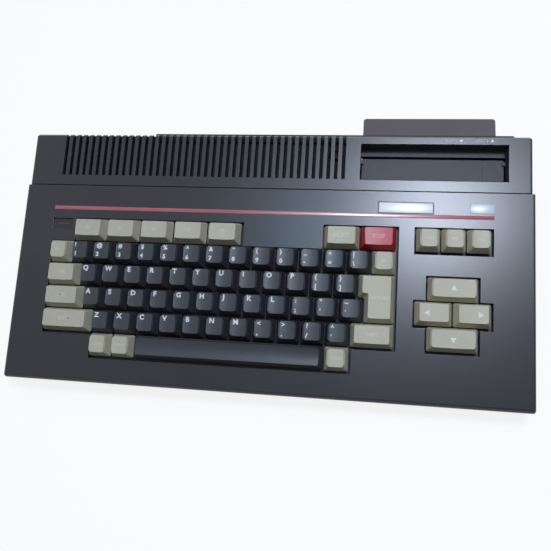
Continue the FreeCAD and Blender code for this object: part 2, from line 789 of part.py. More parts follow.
def make_inlet():
    """Two-pin mains inlet: a figure-of-eight cup with its pins."""
    x = port_cuts[0][1]
    flange = block_at(x, 24.0, rear_y, rear_y + 1.6, port_z - 8.0, port_z + 8.0)
    cup = block_at(x, 20.0, panel_inner_y - port_depth, rear_y + 0.5, port_z - 6.0, port_z + 6.0)
    lobes = []
    for side in (-1, 1):
        lobes.append(rod(3.8, Vector(x + side * inlet_lobe, rear_y - 10, port_z),
                         Vector(x + side * inlet_lobe, rear_y + 3, port_z)))
    lobes.append(block_at(x, 2 * inlet_lobe, rear_y - 10, rear_y + 3, port_z - 3.8, port_z + 3.8))
    pins = [block_at(x + side * inlet_lobe, 2.1, rear_y - 11, rear_y - 1,
                     port_z - 1.05, port_z + 1.05) for side in (-1, 1)]
    return flange.fuse(cup).cut(lobes).fuse(pins).removeSplitter()


def make_switch_body():
    flange = block_at(switch_x, 16.0, rear_y, rear_y + 1.4, port_z - 12.0, port_z + 12.0)
    box = block_at(switch_x, 12.8, panel_inner_y - port_depth, rear_y + 0.5,
                   port_z - 10.1, port_z + 10.1)
    cavity = block_at(switch_x, 9.8, rear_y - 11.0, rear_y + 3, port_z - 8.8, port_z + 8.8)
    pivot = rod(trunnion_radius + 0.05, Vector(switch_x - 6, rocker_pivot_y, port_z),
                Vector(switch_x + 6, rocker_pivot_y, port_z))
    return flange.fuse(box).cut([cavity, pivot]).removeSplitter()


def make_rocker():
    """Rocker with two faces that meet in a shallow valley, at rest in its off position."""
    z, y, r = port_z, rocker_pivot_y, rocker_radius
    outline = [
        (y - 3.0, z - 5.0), (y + 1.2, z - r + 0.9), (y + 4.6, z - r + 1.5), (y + 2.4, z),
        (y + 4.6, z + r - 1.5), (y + 1.2, z + r - 0.9), (y - 3.0, z + 5.0),
    ]
    points = [Vector(switch_x - rocker_width / 2, py, pz) for py, pz in outline]
    body = filled(points, Vector(rocker_width, 0, 0))
    body = body.fuse(rod(trunnion_radius, Vector(switch_x - 5.6, y, z), Vector(switch_x + 5.6, y, z)))
    body.rotate(Vector(switch_x, y, z), Vector(1, 0, 0), -rocker_tilt)
    return body


# Cartridge slots

def make_slot_well():
    """Tub below the top window, with the hinge ears, flap stops and the shaft's guides."""
    half = well_width / 2
    side = well_side
    rear_wall = 1.2
    tub = block_at(well_x, well_width + 2 * side, well_front_v - side, well_rear_v + rear_wall,
                   well_bottom_w, -wall)
    inside = block_at(well_x, well_width, well_front_v, well_rear_v, well_floor_w, 1)
    mouth = block_at(well_x, well_width, well_front_v, flap_free_v + 2.0, well_floor_w - 6, 1)
    trim = block_at(well_x, well_width + 2 * side + 2, flap_free_v + 2.0 + side,
                    well_rear_v + 5, well_floor_w - 6, well_floor_w - 2.0)
    tub = tub.cut([inside, mouth, trim])
    nibs = []
    for sign in (-1, 1):
        edge = well_x + sign * half
        nibs.append(block(min(edge, edge - sign * 2.6), max(edge, edge - sign * 2.6),
                          72.5, 75.5, flap_pivot_w + flap_thickness / 2 + 0.05, -11.4))
    bores = rod(hinge_pin_radius, Vector(well_x - half - 5, flap_pivot_v, flap_pivot_w),
                Vector(well_x + half + 5, flap_pivot_v, flap_pivot_w))
    tub = on_deck(tub.fuse(nibs).cut(bores))
    # upright guides that lead a cartridge down to its socket
    front_face = shaft_front - 0.6
    top_z = slope_z(well_front_v, well_floor_w - 3.0)
    guide = block_at(well_x, well_width + 2 * side, front_face - side, front_face,
                     shaft_foot_z, top_z)
    walls = [guide]
    for sign in (-1, 1):
        edge = well_x + sign * half
        walls.append(block(min(edge, edge + sign * side), max(edge, edge + sign * side),
                           front_face - side, shaft_rear - 1.0, shaft_foot_z, top_z))
    return tub.fuse(walls).removeSplitter()


def make_flap():
    half = flap_width / 2
    leaf = block_at(well_x, flap_width, flap_pivot_v, flap_free_v,
                    flap_pivot_w - flap_thickness / 2, flap_pivot_w + flap_thickness / 2)
    knuckle = rod(hinge_radius, Vector(well_x - half, flap_pivot_v, flap_pivot_w),
                  Vector(well_x + half, flap_pivot_v, flap_pivot_w))
    bore = rod(hinge_pin_radius + 0.05, Vector(well_x - half - 1, flap_pivot_v, flap_pivot_w),
               Vector(well_x + half + 1, flap_pivot_v, flap_pivot_w))
    top = flap_pivot_w + flap_thickness / 2
    grooves = [block_at(x, 0.8, flap_pivot_v + 3, flap_free_v + 1, top - 0.4, top + 1)
               for x in flap_grooves]
    return on_deck(leaf.fuse(knuckle).cut([bore] + grooves).removeSplitter())


def make_flap_pin():
    reach = well_width / 2 + 1.6
    return on_deck(rod(hinge_pin_radius, Vector(well_x - reach, flap_pivot_v, flap_pivot_w),
                       Vector(well_x + reach, flap_pivot_v, flap_pivot_w)))


def make_top_socket():
    """Low edge socket on the main board; the open flap swings past its front."""
    body = block_at(well_x, socket_length, top_socket_y - 4.0, top_socket_y + 4.0,
                    board_top_z, top_socket_z)
    groove = block_at(well_x, socket_length - 12, top_socket_y - 1.0, top_socket_y + 1.0,
                      board_top_z + 1.2, top_socket_z + 1)
    return body.cut(groove)


def make_rear_socket():
    """Edge socket that faces the rear, on a stand that clears the cartridge's mouth."""
    start = cart_front_y - 1.7
    body = block_at(cart_x, socket_length, start, start + 9.2,
                    cart_centre_z - 4.5, cart_centre_z + 4.5)
    stand = block_at(cart_x, socket_length, start, start + 1.4, board_top_z, cart_centre_z)
    groove = block_at(cart_x, socket_length - 4, start + 3.0, start + 10, cart_centre_z - 1.0,
                      cart_centre_z + 1.0)
    return body.fuse(stand).cut(groove).removeSplitter()


def make_cartridge():
    """Cartridge case, open towards its socket, with two posts that hold its board."""
    outer = block_at(cart_x, cart_width, cart_front_y, cart_back_y, cart_bottom_z,
                     cart_bottom_z + cart_height)
    corners = edges_where(outer, lambda edge: edge.BoundBox.ZLength > 5
                          and edge.BoundBox.YMin > cart_back_y - 1)
    outer = outer.makeFillet(cart_corner, corners)
    inner = block_at(cart_x, cart_width - 2 * cart_wall, cart_front_y - 1, cart_back_y - cart_wall,
                     cart_bottom_z + cart_wall, cart_bottom_z + cart_height - cart_wall)
    shell = outer.cut(inner)
    posts = [prism(2.5, x, cart_back_y - 16, cart_bottom_z + 1, cart_centre_z - board_thickness / 2)
             for x in (cart_x - 40, cart_x + 40)]
    return shell.fuse(posts).removeSplitter()


def make_cartridge_board():
    """The cartridge's circuit board: a wide part on its posts and a contact tongue."""
    low, high = cart_centre_z - board_thickness / 2, cart_centre_z + board_thickness / 2
    wide = block_at(cart_x, 96.0, cart_front_y + 12, cart_back_y - 6, low, high)
    tongue = block_at(cart_x, socket_length - 8, cart_front_y + 3, cart_front_y + 13, low, high)
    chip = block_at(cart_x, 36.0, cart_back_y - 25, cart_back_y - 11, high, high + 4.0)
    return wide.fuse([tongue, chip]).removeSplitter()


def make_screws():
    """Identical self-tapping screws: case screws from below, board screws from above."""
    places = [(x, y, screw_seat_z, 1) for x, y in front_bosses + rear_bosses]
    places += [(x, y, board_top_z, -1) for x, y in board_screw_places]
    screws = []
    for x, y, seat, up in places:
        shank_end = seat + up * screw_length
        head_end = seat - up * screw_head_height
        head = prism(screw_head_radius, x, y, min(seat, head_end), max(seat, head_end))
        shank = prism(screw_radius - 0.02, x, y, min(seat, shank_end), max(seat, shank_end))
        screws.append(head.fuse(shank))
    return Part.makeCompound(screws)


def main():
    os.makedirs("parts", exist_ok=True)
    save("front_deck", make_front_deck())
    save("rear_cover", make_rear_cover())
    save("lower_case", make_lower_case())
    save("rubber_feet", make_feet())
    save("case_screws", make_screws())
    save("led_window", make_led_window())
    save("key_plate", make_key_plate())
    save("keyboard_board", make_keyboard_board())
    save("keyboard_ribbon", make_ribbon())
    save("main_board", make_main_board())
    save("transformer", make_transformer())
    save("heat_sink", make_heat_sink())
    save("tv_modulator", make_modulator())
    save("round_sockets", make_sockets())
    save("printer_port", make_printer_port())
    save("joystick_ports", make_joystick_ports())
    save("mains_inlet", make_inlet())
    save("power_switch_body", make_switch_body())
    save("power_rocker", make_rocker())
    save("slot_well", make_slot_well())
    save("slot_flap", make_flap())
    save("flap_pin", make_flap_pin())
    save("top_slot_socket", make_top_socket())
    save("rear_slot_socket", make_rear_socket())
    save("cartridge_shell", make_cartridge())
    save("cartridge_board", make_cartridge_board())
    for name, left, right, row in key_cells():
        save(name, make_cap(left, right, row, domed=(name == "key_space")))
    save("key_return", make_return_cap())
    for name, left, count, row in dark_groups():
        caps = [make_cap(left + step, left + step + 1.0, row) for step in range(count)]
        save(name, Part.makeCompound(caps))


main()
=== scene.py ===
import math
import bmesh
import bpy
from mathutils import Matrix, Vector


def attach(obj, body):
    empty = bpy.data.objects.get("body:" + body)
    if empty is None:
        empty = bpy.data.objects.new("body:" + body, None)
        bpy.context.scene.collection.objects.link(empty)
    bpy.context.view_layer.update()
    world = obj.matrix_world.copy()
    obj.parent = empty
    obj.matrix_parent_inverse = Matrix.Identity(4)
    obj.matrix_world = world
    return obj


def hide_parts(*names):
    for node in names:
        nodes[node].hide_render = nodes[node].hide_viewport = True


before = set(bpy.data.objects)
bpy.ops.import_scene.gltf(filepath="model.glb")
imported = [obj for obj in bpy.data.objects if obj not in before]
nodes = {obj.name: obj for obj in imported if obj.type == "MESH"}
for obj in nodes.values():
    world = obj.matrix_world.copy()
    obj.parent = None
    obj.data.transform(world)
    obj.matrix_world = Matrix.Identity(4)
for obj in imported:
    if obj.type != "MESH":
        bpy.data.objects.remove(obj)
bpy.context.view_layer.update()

mm = 0.001
facing = 0.9        # a face looks along an axis when its normal has more than this of it
edgeSteps = 2       # facets of a small rounded edge
sharpAngle = 50     # degrees: an edge sharper than this is rounded
flatAngle = 0.5     # degrees: faces closer than this are one face
smoothAngle = 40    # degrees: shaded smooth up to this
print("frame loaded,", len(nodes), "nodes")


# the keyboard deck slopes, so what lies on it is modelled flat, as x, v up the deck and w off it
deck = {"slope": 8.0, "y": -2.706, "z": 43.562}
deckPlace = (Matrix.Translation((0, deck["y"] * mm, deck["z"] * mm))
             @ Matrix.Rotation(math.radians(deck["slope"]), 4, "X"))


def lin(hexText):
    # sRGB hex to the linear values that the shaders take
    channels = [int(hexText[i:i + 2], 16) / 255 for i in (0, 2, 4)]
    return tuple(c / 12.92 if c <= 0.04045 else ((c + 0.055) / 1.055) ** 2.4
                 for c in channels) + (1.0,)


def addNode(tree, kind, settings=None, values=None, links=None):
    node = tree.nodes.new(kind)
    for key, value in (settings or {}).items():
        setattr(node, key, value)
    for key, value in (values or {}).items():
        node.inputs[key].default_value = value
    for key, source in (links or {}).items():
        tree.links.new(source, node.inputs[key])
    return node


def newMaterial(name):
    material = bpy.data.materials.new(name)
    material.use_nodes = True
    tree = material.node_tree
    tree.nodes.clear()
    surface = addNode(tree, "ShaderNodeBsdfPrincipled")
    addNode(tree, "ShaderNodeOutputMaterial", links={"Surface": surface.outputs[0]})
    place = addNode(tree, "ShaderNodeTexCoord")
    return material, tree, surface, place.outputs["Object"]


def roughen(tree, surface, pattern, recipe, bumpMm):
    # one pattern drives both the gloss and the relief
    low, high = recipe["roughness"]
    gloss = addNode(tree, "ShaderNodeMapRange", values={"To Min": low, "To Max": high},
                    links={"Value": pattern.outputs["Fac"]})
    tree.links.new(gloss.outputs["Result"], surface.inputs["Roughness"])
    bump = addNode(tree, "ShaderNodeBump",
                   values={"Strength": recipe["bump"], "Distance": bumpMm * mm},
                   links={"Height": pattern.outputs["Fac"]})
    tree.links.new(bump.outputs["Normal"], surface.inputs["Normal"])


# what all mouldings share: how their two tones drift, how their grain is built, and their lacquer
moulding = {"driftDetail": 4.0, "driftRoughness": 0.6, "toneFrom": 0.35, "toneTo": 0.68,
            "grainDetail": 3.0, "grainRoughness": 0.55, "coatRoughness": 0.32, "coatIor": 1.8}


def mouldedPlastic(name, recipe):
    # two close tones that drift over the moulding, and the fine grain the tool left in its skin
    material, tree, surface, place = newMaterial(name)
    surface.inputs["IOR"].default_value = recipe["ior"]
    surface.inputs["Coat Weight"].default_value = recipe.get("coat", 0.0)
    surface.inputs["Coat Roughness"].default_value = moulding["coatRoughness"]
    surface.inputs["Coat IOR"].default_value = moulding["coatIor"]
    drift = addNode(tree, "ShaderNodeTexNoise", links={"Vector": place},
                    values={"Scale": 1 / (recipe["driftMm"] * mm),
                            "Detail": moulding["driftDetail"],
                            "Roughness": moulding["driftRoughness"]})
    tone = addNode(tree, "ShaderNodeValToRGB", links={"Fac": drift.outputs["Fac"]})
    first, second = tone.color_ramp.elements
    first.position, second.position = moulding["toneFrom"], moulding["toneTo"]
    first.color, second.color = lin(recipe["tone"]), lin(recipe["tone2"])
    tree.links.new(tone.outputs["Color"], surface.inputs["Base Color"])
    grain = addNode(tree, "ShaderNodeTexNoise", links={"Vector": place},
                    values={"Scale": 1 / (recipe["grainMm"] * mm),
                            "Detail": moulding["grainDetail"],
                            "Roughness": moulding["grainRoughness"]})
    roughen(tree, surface, grain, recipe, recipe["bumpMm"])
    return material


# what all sheets share: how their lines are built and how deep they are
plating = {"detail": 2.0, "bumpMm": 0.02}


def platedMetal(name, recipe):
    # a metal, foil or enamelled sheet, with drawn or brushed lines that may run along one axis
    material, tree, surface, place = newMaterial(name)
    surface.inputs["Metallic"].default_value = recipe["metallic"]
    surface.inputs["Base Color"].default_value = lin(recipe["tone"])
    stretch = addNode(tree, "ShaderNodeMapping", values={"Scale": recipe["stretch"]},
                      links={"Vector": place})
    lines = addNode(tree, "ShaderNodeTexNoise", links={"Vector": stretch.outputs["Vector"]},
                    values={"Scale": 1 / (recipe["lineMm"] * mm), "Detail": plating["detail"]})
    roughen(tree, surface, lines, recipe, plating["bumpMm"])
    return material


# Charcoal ABS, injection moulded in a spark-eroded tool: an even, fine pebble that spreads the
# lamp into a broad haze. The real pebble is about 0.15 mm; it is drawn at 0.5 mm so that it shows.
# The grains of the other mouldings are drawn three to four times coarser for the same reason.
caseAbs = mouldedPlastic("caseAbs", {
    "tone": "29272E", "tone2": "302E35", "driftMm": 70, "grainMm": 0.5, "bump": 0.3,
    "bumpMm": 0.02, "roughness": (0.25, 0.33), "ior": 1.54})
# the flap and its well come from a tool with a coarser texture, so the lamp leaves no clear sheen
flapAbs = mouldedPlastic("flapAbs", {
    "tone": "2B2A31", "tone2": "323138", "driftMm": 60, "grainMm": 0.7, "bump": 0.4,
    "bumpMm": 0.06, "roughness": (0.50, 0.60), "ior": 1.54})
# the cartridge is the same ABS from another tool, a little browner and drier
cartridgeAbs = mouldedPlastic("cartridgeAbs", {
    "tone": "50464B", "tone2": "584E53", "driftMm": 50, "grainMm": 0.5, "bump": 0.35,
    "bumpMm": 0.05, "roughness": (0.46, 0.58), "ior": 1.54})

# Keycaps of ABS, smoother than the case and polished by fingers to a soft shine. Their grain is
# about 0.1 mm on a real cap and drawn at 0.35 mm.
capSkin = {"grainMm": 0.35, "bump": 0.2, "bumpMm": 0.03, "ior": 1.54}
keyBeigeAbs = mouldedPlastic("keyBeigeAbs", {
    **capSkin, "tone": "B5B09A", "tone2": "BDB8A2", "driftMm": 35, "roughness": (0.46, 0.56)})
keySlateAbs = mouldedPlastic("keySlateAbs", {
    **capSkin, "tone": "2E3137", "tone2": "363A41", "driftMm": 30, "roughness": (0.36, 0.48)})
keyRedAbs = mouldedPlastic("keyRedAbs", {
    **capSkin, "tone": "A81F26", "tone2": "B4262C", "driftMm": 30, "roughness": (0.34, 0.44)})

# polished polycarbonate, tinted so dark that the lamps only glow through when lit
smokedPolycarbonate = mouldedPlastic("smokedPolycarbonate", {
    "tone": "21161B", "tone2": "291C22", "driftMm": 12, "grainMm": 2.0, "bump": 0.05,
    "bumpMm": 0.02, "roughness": (0.10, 0.16), "ior": 1.58})
# a painted highlight: the dull rose line that shows across the pilot lamps' smoked window
roseLensHighlight = mouldedPlastic("roseLensHighlight", {
    "tone": "6E3E48", "tone2": "7A4752", "driftMm": 6, "grainMm": 1.0, "bump": 0.05,
    "bumpMm": 0.01, "roughness": (0.15, 0.22), "ior": 1.58})
# glass-filled nylon of sockets and switches, a dull black with a dry grain
blackNylon = mouldedPlastic("blackNylon", {
    "tone": "141416", "tone2": "1A1A1C", "driftMm": 20, "grainMm": 0.6, "bump": 0.4,
    "bumpMm": 0.05, "roughness": (0.48, 0.60), "ior": 1.53})
# near-black matt sheet that paints the shade inside the vent slots, swallowing nearly all light
paintedShadeBlack = mouldedPlastic("paintedShadeBlack", {
    "tone": "101014", "tone2": "16161A", "driftMm": 10, "grainMm": 0.8, "bump": 0.5,
    "bumpMm": 0.1, "roughness": (0.85, 0.95), "ior": 1.45})
# moulded rubber, matt and a little dusty
footRubber = mouldedPlastic("footRubber", {
    "tone": "18181A", "tone2": "202022", "driftMm": 8, "grainMm": 0.8, "bump": 0.5,
    "bumpMm": 0.08, "roughness": (0.70, 0.85), "ior": 1.52})
# epoxy board under a green solder mask, glossy where the resin pooled
solderMask = mouldedPlastic("solderMask", {
    "tone": "14492B", "tone2": "195634", "driftMm": 6, "grainMm": 1.2, "bump": 0.3,
    "bumpMm": 0.04, "roughness": (0.28, 0.38), "ior": 1.55})
# grey PVC over wires 1.27 mm apart, which give it its ripple
ribbonPvc = mouldedPlastic("ribbonPvc", {
    "tone": "8C8C8A", "tone2": "979794", "driftMm": 10, "grainMm": 1.27, "bump": 0.5,
    "bumpMm": 0.15, "roughness": (0.42, 0.52), "ior": 1.53})

# pad-printed inks, thin and flat: dense white on the slate caps and the arrows, a tone lighter
# than the plastic on the beige and red caps, and grey on the case
inkSkin = {"driftMm": 4, "grainMm": 0.3, "bump": 0.1, "bumpMm": 0.01, "roughness": (0.45, 0.55),
           "ior": 1.5}
whiteInk = mouldedPlastic("whiteInk", {**inkSkin, "tone": "D5DADC", "tone2": "DFE3E4"})
paleInk = mouldedPlastic("paleInk", {**inkSkin, "tone": "C2C1B5", "tone2": "C9C8BC"})
pinkInk = mouldedPlastic("pinkInk", {**inkSkin, "tone": "DE8A8E", "tone2": "E59A9C"})
greyInk = mouldedPlastic("greyInk", {**inkSkin, "tone": "A2A6AB", "tone2": "ABAFB4"})

# hot-stamped red foil under a clear lacquer that catches the lamp before the plastic does
redFoil = mouldedPlastic("redFoil", {
    "tone": "9C3440", "tone2": "A83D49", "driftMm": 40, "grainMm": 0.8, "bump": 0.1,
    "bumpMm": 0.02, "roughness": (0.20, 0.28), "ior": 1.5, "coat": 1.0})
# clear red casting of the pilot lamps, glassy
redEpoxy = mouldedPlastic("redEpoxy", {
    "tone": "8E1A1C", "tone2": "9C2022", "driftMm": 3, "grainMm": 1.0, "bump": 0.05,
    "bumpMm": 0.01, "roughness": (0.12, 0.20), "ior": 1.55})

# silver-backed polyester label and the pale plate beside it, both brushed along x
silverFoil = platedMetal("silverFoil", {
    "tone": "E9ECEF", "metallic": 0.12, "stretch": (0.05, 1, 1), "lineMm": 0.4,
    "roughness": (0.26, 0.38), "bump": 0.05})
paleFoil = platedMetal("paleFoil", {
    "tone": "C9CFD6", "metallic": 0.12, "stretch": (0.05, 1, 1), "lineMm": 0.4,
    "roughness": (0.30, 0.42), "bump": 0.05})
# zinc on screws and pin, greyish and slightly clouded
zincPlate = platedMetal("zincPlate", {
    "tone": "B9B7B0", "metallic": 1.0, "stretch": (1, 1, 0.2), "lineMm": 0.5,
    "roughness": (0.28, 0.42), "bump": 0.1})
# thin gold over nickel on contacts, bright and even
goldPlate = platedMetal("goldPlate", {
    "tone": "D9A94A", "metallic": 1.0, "stretch": (1, 1, 1), "lineMm": 0.6,
    "roughness": (0.22, 0.32), "bump": 0.05})
# cold-rolled sheet with black enamel, whose orange peel is about 1.5 mm
blackEnamel = platedMetal("blackEnamel", {
    "tone": "0E0E10", "metallic": 0.0, "stretch": (1, 1, 1), "lineMm": 1.5,
    "roughness": (0.40, 0.52), "bump": 0.1})
# tinned steel can, dull silver with rolling lines along x
tinnedSteel = platedMetal("tinnedSteel", {
    "tone": "B4B3AC", "metallic": 1.0, "stretch": (0.2, 1, 1), "lineMm": 0.8,
    "roughness": (0.30, 0.45), "bump": 0.1})
# stacked iron sheets 0.5 mm thick under brown varnish, so their edges show as lines
varnishedIron = platedMetal("varnishedIron", {
    "tone": "4A4038", "metallic": 0.6, "stretch": (1, 0.05, 1), "lineMm": 0.5,
    "roughness": (0.40, 0.55), "bump": 0.4})
# pressed aluminium, drawn lines upright
finAluminium = platedMetal("finAluminium", {
    "tone": "C4C6C8", "metallic": 1.0, "stretch": (1, 1, 0.1), "lineMm": 0.5,
    "roughness": (0.28, 0.40), "bump": 0.1})
print("materials ready")


def setMode(mode):
    bpy.ops.object.mode_set(mode=mode)


def selectNone():
    if bpy.context.mode != "OBJECT":
        setMode("OBJECT")
    bpy.ops.object.select_all(action="DESELECT")


def selectOnly(*pieces):
    selectNone()
    for piece in pieces:
        piece.select_set(True)
    bpy.context.view_layer.objects.active = pieces[0]


def settle():
    # puts the place of what is selected into its mesh
    bpy.ops.object.transform_apply(location=True, rotation=True, scale=True)


def startBlock(name, low, high):
    # a box between two corners in mm, the start of most pieces
    selectNone()
    middle = [(a + b) / 2 * mm for a, b in zip(low, high)]
    bpy.ops.mesh.primitive_cube_add(size=1, location=middle)
    piece = bpy.context.object
    piece.name = piece.data.name = name
    piece.scale = [(b - a) * mm for a, b in zip(low, high)]
    settle()
    return piece


def pick(piece, kind, test):
    # goes into edit mode with only the faces, edges or points selected that pass the test
    selectOnly(piece)
    setMode("EDIT")
    bpy.ops.mesh.select_mode(type=kind)
    bpy.ops.mesh.select_all(action="DESELECT")
    work = bmesh.from_edit_mesh(piece.data)
    for part in {"FACE": work.faces, "EDGE": work.edges, "VERT": work.verts}[kind]:
        if test(part):
            part.select_set(True)
    bmesh.update_edit_mesh(piece.data)


def softenTop(piece, above, width):
    # rounds the edges that lie wholly above a height in mm
    pick(piece, "EDGE", lambda edge: min(vert.co.z for vert in edge.verts) > above * mm)
    bpy.ops.mesh.bevel(offset=width * mm, segments=edgeSteps, affect="EDGES")
    setMode("OBJECT")


def sinkTop(piece, rim, depth):
    # leaves a rim round the top and sinks the rest
    pick(piece, "FACE", lambda face: face.normal.z > facing)
    bpy.ops.mesh.inset(thickness=rim * mm)
    bpy.ops.mesh.extrude_region_move(TRANSFORM_OT_translate={"value": (0, 0, -depth * mm)})
    setMode("OBJECT")


def applyModifier(piece, kind, **settings):
    selectOnly(piece)
    modifier = piece.modifiers.new(kind.lower(), kind)
    for key, value in settings.items():
        setattr(modifier, key, value)
    bpy.ops.object.modifier_apply(modifier=modifier.name)


def breakEdges(piece, width, steps):
    # rounds every sharp edge
    applyModifier(piece, "BEVEL", width=width * mm, segments=steps, limit_method="ANGLE",
                  angle_limit=math.radians(sharpAngle), use_clamp_overlap=True)


def cutWith(piece, cutter):
    applyModifier(piece, "BOOLEAN", operation="DIFFERENCE", object=cutter, solver="EXACT")
    bpy.data.objects.remove(cutter)


def smoothOver(piece, degrees):
    selectOnly(piece)
    bpy.ops.object.shade_smooth_by_angle(angle=math.radians(degrees))


def shadeFlats(piece, degrees):
    # the rounds are shaded smooth and the flats between them stay flat
    smoothOver(piece, degrees)
    applyModifier(piece, "WEIGHTED_NORMAL", mode="FACE_AREA", keep_sharp=True)


def layOnDeck(piece, x=0.0, v=0.0):
    selectOnly(piece)
    piece.matrix_world = deckPlace @ Matrix.Translation((x * mm, v * mm, 0))
    settle()


def finishPiece(piece, material, body, slotName, *replaced):
    piece.data.materials.clear()
    piece.data.materials.append(material)
    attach(piece, body)
    if replaced:
        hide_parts(*replaced)


def copyOf(piece, name):
    twin = piece.copy()
    twin.data = piece.data.copy()
    twin.name = twin.data.name = name
    bpy.context.scene.collection.objects.link(twin)
    return twin


# case mouldings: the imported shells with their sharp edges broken, as a moulding's are
caseShells = {
    "frontDeckShell": {"node": "front_deck", "edge": 0.35},
    "rearCoverShell": {"node": "rear_cover", "edge": 0.30},
    "lowerCaseShell": {"node": "lower_case", "edge": 0.30},
}
weld = 0.005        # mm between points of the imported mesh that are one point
# the vent slots of the rear cover: where they lie, how far they widen, how their walls and the
# skin round them face, and the heights off the deck between which their floors end on a boss and
# are painted black as shade
vents = {"left": -180.0, "right": 64.0, "front": 50.0, "draft": 0.45, "wallFacing": 0.99,
         "skinAside": 0.1, "skinUp": 0.2, "floorLow": -4.4, "floorHigh": -3.0}


def isVentRim(edge, side):
    # an edge where a slot's side wall meets the outer skin
    walls = any(face.normal.x * side > vents["wallFacing"] for face in edge.link_faces)
    skins = any(abs(face.normal.x) < vents["skinAside"] and face.normal.z > vents["skinUp"]
                for face in edge.link_faces)
    middle = (edge.verts[0].co + edge.verts[1].co) / 2
    inside = vents["left"] * mm < middle.x < vents["right"] * mm and middle.y > vents["front"] * mm
    return walls and skins and inside


def openVents(piece):
    # the vent slots widen towards the outside, as the tool's draft leaves them
    for side in (-1, 1):
        pick(piece, "EDGE", lambda edge: isVentRim(edge, side))
        bpy.ops.transform.translate(value=(-side * vents["draft"] * mm, 0, 0))
        setMode("OBJECT")


def makeShell(name, recipe):
    piece = copyOf(nodes[recipe["node"]], name)
    piece.parent = None
    for key in list(piece.keys()):
        del piece[key]
    selectOnly(piece)
    setMode("EDIT")
    bpy.ops.mesh.select_all(action="SELECT")
    bpy.ops.mesh.customdata_custom_splitnormals_clear()
    bpy.ops.mesh.remove_doubles(threshold=weld * mm)
    bpy.ops.mesh.dissolve_limited(angle_limit=math.radians(flatAngle), delimit={"NORMAL"})
    setMode("OBJECT")
    if recipe["node"] == "rear_cover":
        openVents(piece)
    breakEdges(piece, recipe["edge"], edgeSteps)
    shadeFlats(piece, smoothAngle)
    finishPiece(piece, caseAbs, "case", "case_plastic", recipe["node"])


for name, recipe in caseShells.items():
    makeShell(name, recipe)

# painted shade: where a slot ends on a boss, the floor of the slot is painted as black as the
# shade sheet beside it
rearShell = bpy.data.objects["rearCoverShell"]
rearShell.data.materials.append(paintedShadeBlack)
for face in rearShell.data.polygons:
    spot = deckPlace.inverted() @ face.center
    onFloor = vents["floorLow"] * mm < spot.z < vents["floorHigh"] * mm
    if face.normal.z > facing and onFloor and vents["left"] * mm < spot.x < vents["right"] * mm:
        face.material_index = 1

# a black sheet under the vent slots that paints their shade, with a hole for the boss that passes
# through it
ventShadeSize = {"low": (-181.0, 53.5, -6.6), "high": (65.0, 88.5, -2.55), "rim": 1.0, "depth": 3.3,
            "boss": (54.0, 77.2), "bossRadius": 4.6, "bossReach": 20, "bossSides": 24}
ventShadeSheet = startBlock("ventShadeSheet", ventShadeSize["low"], ventShadeSize["high"])
sinkTop(ventShadeSheet, ventShadeSize["rim"], ventShadeSize["depth"])
selectNone()
bossX, bossY = ventShadeSize["boss"]
bpy.ops.mesh.primitive_cylinder_add(vertices=ventShadeSize["bossSides"],
                                    radius=ventShadeSize["bossRadius"] * mm,
                                    depth=ventShadeSize["bossReach"] * mm,
                                    location=(bossX * mm, bossY * mm, 0))
cutWith(ventShadeSheet, bpy.context.object)
layOnDeck(ventShadeSheet)
finishPiece(ventShadeSheet, paintedShadeBlack, "case", "case_plastic")
print("case shells done")


# keycaps: a tapered block with round corners, a finger dish and a soft rim, hollow below. left is
# where the first column starts, and front is the front edge of row 0, the rearmost row.
cap = {"pitch": 19.05, "gap": 0.85, "height": 9.0, "insetX": 3.2, "insetRear": 1.95,
       "insetFront": 2.9, "corner": 1.4, "cornerSteps": 4, "rim": 0.5, "rimSteps": 3, "wall": 1.3,
       "smoothAngle": 38, "left": -179.5, "front": -2.4}
dish = {"depth": 0.5, "facets": 10, "length": 80}
trough = {"depth": 0.8, "sides": 150, "length": 200}
spaceKey = {"units": 8.0, "left": 4.25, "row": 5}
returnKey = {"units": 1.25, "step": 0.25, "left": 13.75, "row": 2}
mostly = 0.9        # the share of a cap's height or pitch past which its top or rear edge starts
topHeight = cap["height"] * mostly * mm


def capWidth(units):
    return units * cap["pitch"] - cap["gap"]


def capBlock(name, units):
    # a cap's block stands on the deck, with its middle over the origin
    right, rear = capWidth(units) / 2, capWidth(1) / 2
    return startBlock(name, (-right, -rear, 0), (right, rear, cap["height"]))


def drawIn(piece, move, test):
    # moves the points of the top that pass the test
    pick(piece, "VERT", lambda vert: vert.co.z > topHeight and test(vert.co))
    bpy.ops.transform.translate(value=[step * mm for step in move])


def taperTop(piece):
    # the top is drawn in at the sides and rear, and further at the front
    drawIn(piece, (cap["insetX"], 0, 0), lambda place: place.x < 0)
    drawIn(piece, (-cap["insetX"], 0, 0), lambda place: place.x > 0)
    drawIn(piece, (0, cap["insetFront"], 0), lambda place: place.y < 0)
    drawIn(piece, (0, -cap["insetRear"], 0), lambda place: place.y > 0)


def roundCorners(piece):
    pick(piece, "EDGE", lambda edge: abs(edge.verts[0].co.z - edge.verts[1].co.z) > topHeight)
    bpy.ops.mesh.bevel(offset=cap["corner"] * mm, segments=cap["cornerSteps"], affect="EDGES")
    setMode("OBJECT")


def arcRadius(width, depth):
    # the radius of an arc that is so wide and so deep
    return (width ** 2 / 4 + depth ** 2) / (2 * depth)


def dishTop(piece, width):
    # a long cylinder sunk a little into the top, as wide across as the top itself
    radius = arcRadius(width, dish["depth"])
    turn = 2 * math.degrees(math.asin(width / 2 / radius))
    height = cap["height"] + radius - dish["depth"]
    selectNone()
    bpy.ops.mesh.primitive_cylinder_add(vertices=int(360 * dish["facets"] / turn),
                                        radius=radius * mm, depth=dish["length"] * mm,
                                        rotation=(math.pi / 2, 0, 0),
                                        location=(0, 0, height * mm))
    cutWith(piece, bpy.context.object)


